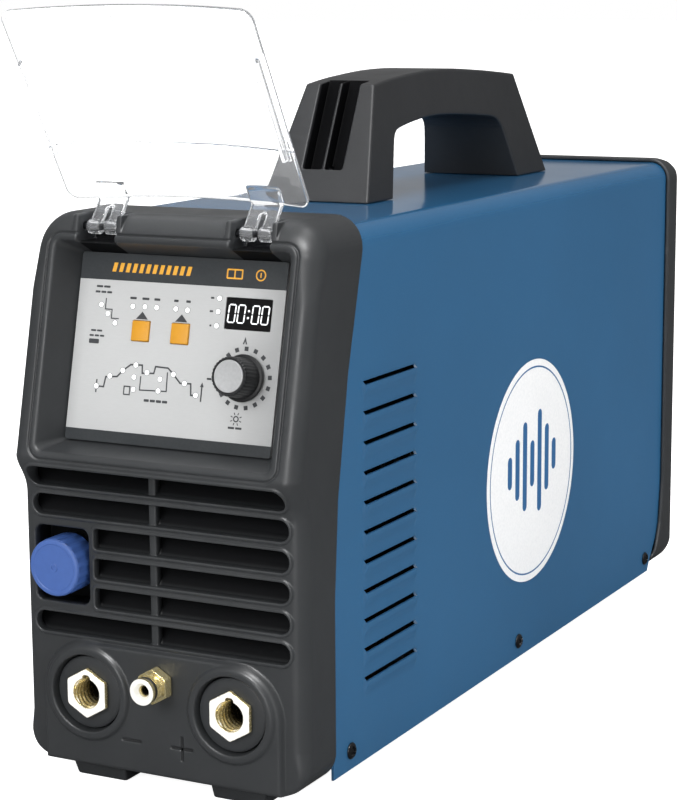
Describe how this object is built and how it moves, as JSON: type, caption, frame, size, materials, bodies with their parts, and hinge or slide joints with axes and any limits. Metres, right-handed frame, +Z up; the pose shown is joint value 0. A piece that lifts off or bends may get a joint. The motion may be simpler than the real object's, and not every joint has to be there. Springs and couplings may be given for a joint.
{
  "type": "tig welding machine",
  "caption": "Portable inverter TIG welding power source with moulded end bezels, clear flip-up panel cover, cable sockets, gas outlet, louvred steel case, rear fan and carrying handle.",
  "frame": {"origin": "middle of the bounding box in plan, on the plane of the feet", "axes": "+X to the right seen from the front, +Y towards the back of the case, +Z up"},
  "size_m": [0.156, 0.5678, 0.3686],
  "materials": {
    "moulded_grey": "fine-grained moulded plastic",
    "case_blue": "smooth powder coat",
    "zinc_steel": "zinc-plated sheet",
    "black_plastic": "moulded black plastic",
    "black_steel": "black-oxide steel",
    "clear_plastic": "clear moulded polycarbonate",
    "panel_film": "printed polyester film",
    "brass": "machined brass",
    "cap_blue": "moulded blue plastic",
    "key_orange": "moulded orange plastic",
    "board_green": "solder-masked laminate",
    "ferrite": "sintered ferrite",
    "copper": "enamelled copper",
    "aluminium": "extruded or turned aluminium",
    "white_plastic": "moulded white plastic",
    "black_rubber": "smooth black sheath"
  },
  "bodies": {
    "machine": {"front_bezel": "moulded_grey", "outer_shell": "case_blue", "rear_bezel": "moulded_grey", "base_chassis": "zinc_steel", "handle": "moulded_grey", "handle_screw_front": "zinc_steel", "handle_screw_rear": "zinc_steel", "side_screw_left_1": "black_steel", "side_screw_left_2": "black_steel", "side_screw_left_3": "black_steel", "side_screw_right_1": "black_steel", "side_screw_right_2": "black_steel", "side_screw_right_3": "black_steel", "rear_screw_1": "black_steel", "rear_screw_2": "black_steel", "rear_screw_3": "black_steel", "rear_screw_4": "black_steel", "cover_pin_left": "black_steel", "cover_pin_right": "black_steel", "panel_overlay": "panel_film", "control_board": "board_green", "display_module": "black_plastic", "encoder_body": "zinc_steel", "tact_switch_mode": "black_plastic", "tact_switch_trigger": "black_plastic", "socket_insulator_negative": "black_plastic", "socket_insulator_positive": "black_plastic", "socket_brass_negative": "brass", "socket_brass_positive": "brass", "gas_outlet": "brass", "gas_outlet_nut": "brass", "control_socket": "black_steel", "main_board": "board_green", "heatsink_left": "aluminium", "heatsink_right": "aluminium", "transformer_core": "ferrite", "transformer_winding": "copper", "output_choke": "copper", "hf_coil": "copper", "capacitor_left": "black_plastic", "capacitor_right": "black_plastic", "fan_frame": "black_plastic", "fan_guard": "zinc_steel", "switch_housing": "black_plastic", "mains_cord": "black_rubber", "cord_gland": "black_plastic", "gas_inlet": "brass", "gas_valve": "zinc_steel", "gas_hose": "black_rubber"},
    "cover": {"clear_cover": "clear_plastic"},
    "knob_push": {"encoder_plunger": "white_plastic"},
    "knob": {"encoder_shaft": "aluminium", "selector_knob": "black_plastic", "knob_cap": "aluminium"},
    "mode_key": {"button_mode": "key_orange"},
    "trigger_key": {"button_trigger": "key_orange"},
    "socket_cap": {"dust_cap": "cap_blue"},
    "fan": {"fan_rotor": "black_plastic"},
    "mains_switch": {"switch_rocker": "black_plastic"},
    "valve_core": {"valve_plunger": "black_steel"}
  },
  "joints": [
    {"name": "cover_hinge", "type": "hinge", "parent": "machine", "child": "cover", "pos_m": [0, -0.23829, 0.265], "axis": [1, 0, 0], "range_deg": [0, 136]},
    {"name": "knob_press", "type": "slide", "parent": "machine", "child": "knob_push", "axis": [0, 0.9746, -0.2239], "range_m": [0, 0.0005]},
    {"name": "knob_turn", "type": "hinge", "parent": "knob_push", "child": "knob", "pos_m": [0.0382, -0.25205, 0.20083], "axis": [0, -0.9746, 0.2239], "continuous": true},
    {"name": "mode_key_press", "type": "slide", "parent": "machine", "child": "mode_key", "axis": [0, 0.9746, -0.2239], "range_m": [0, 0.0006]},
    {"name": "trigger_key_press", "type": "slide", "parent": "machine", "child": "trigger_key", "axis": [0, 0.9746, -0.2239], "range_m": [0, 0.0006]},
    {"name": "socket_cap_pull", "type": "slide", "parent": "machine", "child": "socket_cap", "axis": [0, -1, 0], "range_m": [0, 0.025]},
    {"name": "fan_spin", "type": "hinge", "parent": "machine", "child": "fan", "pos_m": [0, 0.21251, 0.165], "axis": [0, 1, 0], "continuous": true},
    {"name": "mains_switch_rock", "type": "hinge", "parent": "machine", "child": "mains_switch", "pos_m": [0, 0.23321, 0.068], "axis": [1, 0, 0], "range_deg": [0, 20]},
    {"name": "gas_valve_open", "type": "slide", "parent": "machine", "child": "valve_core", "axis": [0, 0, 1], "range_m": [0, 0.002]}
  ]
}
